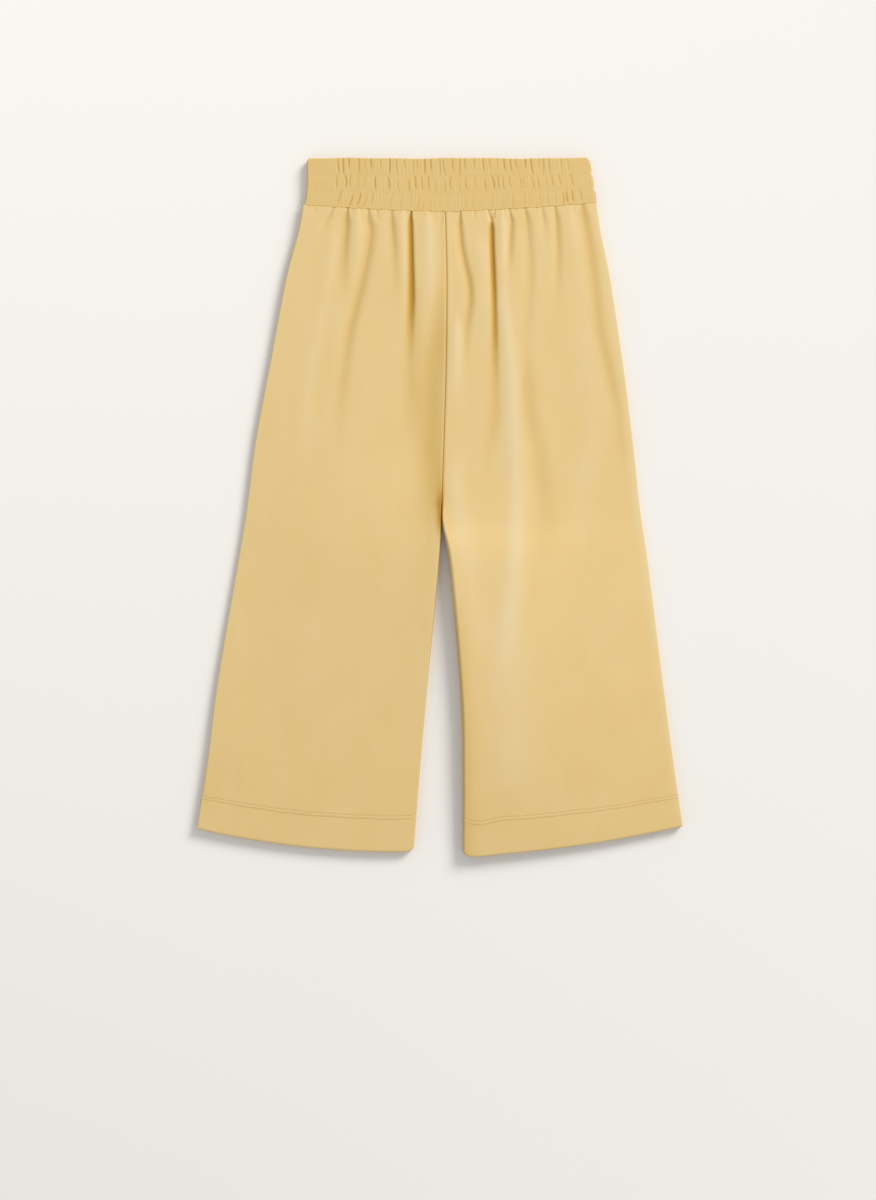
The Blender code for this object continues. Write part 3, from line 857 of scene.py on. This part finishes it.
def stitch(start, end, up, thread, points, faces):
    # one stitch: a short thread that rises out of the cloth at one end and dives in at the other
    along = end - start
    across = np.cross(along, up)
    across /= np.linalg.norm(across)
    first = len(points)
    sides, rings = stitchShape["sides"], stitchShape["rings"]
    for share, rise, width, _ in rings:
        centre = start + along * share + up * rise * thread
        for side in range(sides):
            turn = 2 * math.pi * side / sides
            points.append(centre + (across * math.cos(turn) + up * math.sin(turn)) * width * thread / 2)
    for ring in range(len(rings) - 1):
        for side in range(sides):
            beside = (side + 1) % sides
            low, high = first + ring * sides, first + (ring + 1) * sides
            faces.append((low + side, low + beside, high + beside, high + side))
    for ring in (0, len(rings) - 1):
        faces.append([first + ring * sides + side for side in range(sides)])


def sewAlong(name, lines, settings, up):
    # stitches along each line of points, evenly spaced, with a shadow in their needle holes
    points, faces = [], []
    pitch, half = settings["pitch"], settings["stitchShare"] / 2
    for line, travelled in lines:
        for index in range(int(travelled[0] / pitch) + 1, int(travelled[-1] / pitch)):
            ends = [(index + 0.5 + reach) * pitch for reach in (-half, half)]
            start, end = (np.array([np.interp(at, travelled, axis) for axis in line.T]) for at in ends)
            stitch(start, end, up, settings["thread"], points, faces)
    place = np.zeros((len(points), 4))
    shades = [ring[3] for ring in stitchShape["rings"]]
    place[:, 2] = np.resize(np.repeat(shades, stitchShape["sides"]), len(points))
    return makePiece(name, points, faces, place)


def addHemStitches(node, side, isFront):
    shares = np.linspace(0, 1, grid["stitchPoints"])
    up = np.array([0, 0, 1.0 if isFront else -1.0])
    sewn = slice(hem["endPoints"], -hem["endPoints"])
    lines = []
    for row in hem["rows"]:
        line, place = legRow(side, isFront, legLength[side] - row, shares, 0)
        lines.append((line[sewn] - np.array([0, 0, 0 if isFront else hem["backDrop"]]), place[sewn, 0]))
    return sewAlong("hem_stitches_" + node, lines, hem, up)


def addShirringStitches():
    columns = bandColumns()
    made = []
    for face, up in (("front", 1), ("back", -1)):
        chosen = columns[1] == up * math.pi / 2
        lines = []
        for row in band["stitchRows"]:
            line, place = bandRow(row, 0, 1, columns)
            lines.append((line[chosen] + np.array([0, 0, up * shirring["sunk"]]), place[chosen, 0]))
        made.append(sewAlong("shirring_stitches_" + face, lines, shirring, np.array([0, 0, float(up)])))
    return made


# Materials
class Wire:
    # a socket of a material's nodes: arithmetic on it adds Math nodes

    def __init__(self, tree, socket=None):
        self.tree, self.socket = tree, socket

    def node(self, kind, settings=None, inputs=None, output=0):
        made = self.tree.nodes.new(kind)
        for name, value in (settings or {}).items():
            if name == "stops":
                ramp = made.color_ramp.elements
                while len(ramp) < len(value):
                    ramp.new(0.5)
                for stop, (place, colour) in zip(ramp, value):
                    stop.position, stop.color = place, colour
            else:
                setattr(made, name, value)
        for name, value in (inputs or {}).items():
            if isinstance(value, Wire):
                self.tree.links.new(value.socket, made.inputs[name])
            else:
                made.inputs[name].default_value = value
        return Wire(self.tree, made.outputs[output])

    def maths(self, operation, *others):
        return self.node("ShaderNodeMath", {"operation": operation}, dict(enumerate((self, *others))))

    def __add__(self, other):
        return self.maths("ADD", other)

    def __sub__(self, other):
        return self.maths("SUBTRACT", other)

    def __rsub__(self, other):
        return (self * -1).maths("ADD", other)

    def __mul__(self, other):
        return self.maths("MULTIPLY", other)

    def __truediv__(self, other):
        return self.maths("DIVIDE", other)

    __radd__, __rmul__ = __add__, __mul__


multiply = {"data_type": "RGBA", "blend_type": "MULTIPLY"}


def newMaterial(name, fixed):
    # a Principled material, the values that are the same all over it, and its first wire
    made = bpy.data.materials.new(name)
    made.use_nodes = True
    shader = made.node_tree.nodes["Principled BSDF"]
    for socket, value in fixed.items():
        shader.inputs[socket].default_value = value
    return made, shader, Wire(made.node_tree)


def plug(wire, shader, socket):
    wire.tree.links.new(wire.socket, shader.inputs[socket])


def solidPlace(start):
    # places in the object's own coordinates
    return start.node("ShaderNodeTexCoord", None, None, 3)


def axisOf(vector, axis):
    return vector.node("ShaderNodeSeparateXYZ", None, {"Vector": vector}, axis)


def noise(place, scale, detail):
    return place.node("ShaderNodeTexNoise", None, {"Vector": place, "Scale": scale, "Detail": detail})


def ramp(level, stops):
    return level.node("ShaderNodeValToRGB", {"stops": stops}, {"Fac": level})


def bumped(height, strength, depth):
    settings = {"Height": height, "Strength": strength, "Distance": depth * metre}
    return height.node("ShaderNodeBump", None, settings)


jersey = {
    "colour": (0.744, 0.550, 0.262),
    "darkColour": (0.693, 0.496, 0.214),
    # painted highlight on raised cloth, then plain, then painted shade down to the deepest crease
    "tints": (  # what its colour is multiplied by, from raised cloth over plain to the deepest hollow
        (0.0, (1.05, 1.2, 1.7, 1)),
        (0.5, (1.0, 1.0, 1.0, 1)),
        (0.62, (0.94, 0.90, 0.79, 1)),
        (0.8, (0.80, 0.70, 0.42, 1)),
        (1.0, (0.62, 0.43, 0.12, 1)),
    ),
    # painted shade for edges turned to the light
    "litEdgeShadeColour": (0.60, 0.63, 0.73, 1),
    "roughness": 0.88,
    "sheen": 0.04,
    "wale": 0.9,  # pitch of the knit's ribs across, and of its stitches along
    "course": 0.7,
    "lean": 1.1,
    "loops": (0.6, 0.4),
    "knitDepth": 0.05,
    "bump": 0.35,
    "broadScale": 22.0,
    "fineScale": 900.0,
    "streakScale": 75.0,
    "shades": (0.35, 0.35, 0.25, 0.08),  # of broad mottle, fine fuzz and knit, and of all of it
    "fuzz": 0.8,
    "towardsHem": 3.9,  # how much deeper its yellow gets towards the hems, and at most
    "deepest": 0.25,
    "streakTint": (1.0, 0.985, 0.93, 1),
    "holeShade": 0.4,
}
thread = {
    "colours": ((0.2, (0.68, 0.48, 0.20, 1)), (0.8, (0.76, 0.56, 0.26, 1))),
    "roughness": 0.6,
    "sheen": 0.15,
    "twist": 1200.0,
    "bump": 0.5,
    "depth": 0.05,
}


def withPaintedShading(colour, deeper=0):
    # painted shade deepens the colour in hollows and creases, painted highlight pales it where the cloth is
    # raised, and painted shade darkens edges turned to the light
    hollow = colour.node("ShaderNodeAttribute", {"attribute_name": "hollow"}, None, 2) + deeper
    edge = colour.node("ShaderNodeAttribute", {"attribute_name": "edge"}, None, 2)
    tint = ramp(hollow * 0.5 + 0.5, jersey["tints"])
    deepened = colour.node("ShaderNodeMix", multiply, {0: 1.0, 6: colour, 7: tint}, 2)
    return colour.node("ShaderNodeMix", multiply, {0: edge, 6: deepened, 7: jersey["litEdgeShadeColour"]}, 2)


def needleHoles(across, along):
    # 1 in the holes between the hem's stitches
    fromHole = ((across * (1000 / hem["pitch"]) + 0.5).maths("FRACT") - 0.5) * hem["pitch"]
    fromRows = [along * 1000 - row for row in hem["rows"]]
    near = [(fromHole * fromHole + fromRow * fromRow).maths("SQRT") / hem["hole"] for fromRow in fromRows]
    return (1.3 - near[0].maths("MINIMUM", near[1])).maths("MINIMUM", 1).maths("MAXIMUM", 0)


def jerseyMaterial():
    print("jersey material")
    made, shader, start = newMaterial("yellow_jersey", {
        "Roughness": jersey["roughness"],
        "Sheen Weight": jersey["sheen"],
        "Sheen Roughness": 0.5,
        "Sheen Tint": (1.0, 0.9, 0.7, 1),
        "Specular IOR Level": 0.25,
    })
    place = start.node("ShaderNodeUVMap", {"uv_map": "cloth"})
    across, along = axisOf(place, 0), axisOf(place, 1)
    solid = solidPlace(start)

    # the knit: columns of small V shapes
    half = ((across * (1000 / jersey["wale"])).maths("FRACT") - 0.5).maths("ABSOLUTE")
    course = (along * (1000 / jersey["course"]) + half * jersey["lean"]).maths("FRACT")
    ridge, loop = (half * (2 * math.pi)).maths("SINE"), (course * math.pi).maths("SINE")
    knit = ridge * jersey["loops"][0] + loop * jersey["loops"][1]

    # its colour, deeper towards the hems
    fine = noise(solid, jersey["fineScale"], 3.0)
    low = axisOf(solid, 1).maths("MINIMUM", 0)
    deeper = (low * low * jersey["towardsHem"]).maths("MINIMUM", jersey["deepest"])
    broad = noise(solid, jersey["broadScale"], 4.0)
    ofBroad, ofFine, ofKnit, ofAll = jersey["shades"]
    shade = broad * ofBroad + fine * ofFine + knit * ofKnit - deeper + ofAll
    plain = ramp(shade, ((0.25, (*jersey["darkColour"], 1)), (0.62, (*jersey["colour"], 1))))

    # soft streaks down the cloth, where its yellow is purer
    streaked = start.node("ShaderNodeMapping", None, {"Vector": solid, "Scale": (1.0, 0.3, 1.0)})
    purer = (noise(streaked, jersey["streakScale"], 1.0) - 0.35) * 3
    colour = start.node("ShaderNodeMix", multiply, {0: purer, 6: plain, 7: jersey["streakTint"]}, 2)
    # painted shade in the needle holes between the hem's stitches, which are dented too
    holes = needleHoles(across, along)
    plug(withPaintedShading(colour, holes * jersey["holeShade"]), shader, "Base Color")
    relief = bumped(knit + fine * jersey["fuzz"] - holes, jersey["bump"], jersey["knitDepth"])
    plug(relief, shader, "Normal")
    return made


def threadMaterial():
    made, shader, start = newMaterial("yellow_thread", {
        "Roughness": thread["roughness"],
        "Sheen Weight": thread["sheen"],
    })
    wave = {"Vector": solidPlace(start), "Scale": thread["twist"]}
    twist = start.node("ShaderNodeTexWave", {"bands_direction": "DIAGONAL"}, wave)
    plug(withPaintedShading(ramp(twist, thread["colours"])), shader, "Base Color")
    plug(bumped(twist, thread["bump"], thread["depth"]), shader, "Normal")
    return made


def floorMaterial():
    made, shader, start = newMaterial("pale_surface", {"Roughness": 0.9, "Specular IOR Level": 0.1})
    solid = solidPlace(start)
    across, up = axisOf(solid, 0), axisOf(solid, 1)
    # painted light falloff across the surface, then a fine grain
    byAcross, byUp, byBoth = studio["paintedFalloff"]
    level = up * byUp - across * byAcross - across * up * byBoth + studio["floorLevel"]
    level = level + noise(solid, 3.0, 2.0) * studio["floorGrain"]
    plug(ramp(level, studio["floorColours"]), shader, "Base Color")
    return made


def ridePart(piece, material):
    piece.data.materials.append(material)
    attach(piece, "root")


def dress():
    jerseyCloth, yellowThread = jerseyMaterial(), threadMaterial()
    for side in ("left", "right"):
        for face in ("front", "back"):
            node, isFront = face + "_" + side, face == "front"
            panel = addLegPanel(node, side, isFront)
            stitches = addHemStitches(node, side, isFront)
            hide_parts(node)
            ridePart(panel, jerseyCloth)
            ridePart(stitches, yellowThread)
    loop = addWaistband()
    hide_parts("waistband")
    ridePart(loop, jerseyCloth)
    threads = addShirringStitches()
    for piece in threads:
        ridePart(piece, yellowThread)


dress()


# Surface and light
studio = {
    "floorSize": 12,
    "floorDrop": 0.0002,
    "floorColours": ((0.0, (0.77, 0.745, 0.712, 1)), (1.0, (0.92, 0.893, 0.86, 1))),
    # painted light falloff: the surface is paler towards the top of the picture and towards the left
    "paintedFalloff": (0.43, 0.11, 0.67),  # how its paleness changes across, up the picture and by both
    "floorLevel": 0.476,
    "floorGrain": 0.06,
    "keyFrom": (0.58, 0.62, 0.52),  # direction of the soft key light, upper right
    "keyColour": (1.0, 0.955, 0.89),
    "keyDistance": 7,
    "keySize": 3.1,
    "keyPower": 424,
    "skyColour": (0.945, 0.975, 1.0, 1),
    "skyLight": 0.665,
}


def addStudio():
    print("surface and light")
    bpy.ops.object.select_all(action="DESELECT")
    bpy.ops.mesh.primitive_plane_add(size=studio["floorSize"], location=(0, 0, -studio["floorDrop"]))
    floor = bpy.context.object
    floor.name = "floor"
    floor.data.materials.append(floorMaterial())
    data = bpy.data.lights.new("key", "AREA")
    data.shape, data.size, data.energy = "DISK", studio["keySize"], studio["keyPower"]
    data.color = studio["keyColour"]
    key = bpy.data.objects.new("key", data)
    key.location = Vector(studio["keyFrom"]).normalized() * studio["keyDistance"]
    key.rotation_euler = (-key.location).to_track_quat("-Z", "Y").to_euler()
    bpy.context.scene.collection.objects.link(key)
    world = bpy.data.worlds.new("studio")
    world.use_nodes = True
    sky = world.node_tree.nodes["Background"].inputs
    sky["Color"].default_value = studio["skyColour"]
    sky["Strength"].default_value = studio["skyLight"]
    bpy.context.scene.world = world
    bpy.context.scene.view_settings.view_transform = "Standard"


addStudio()
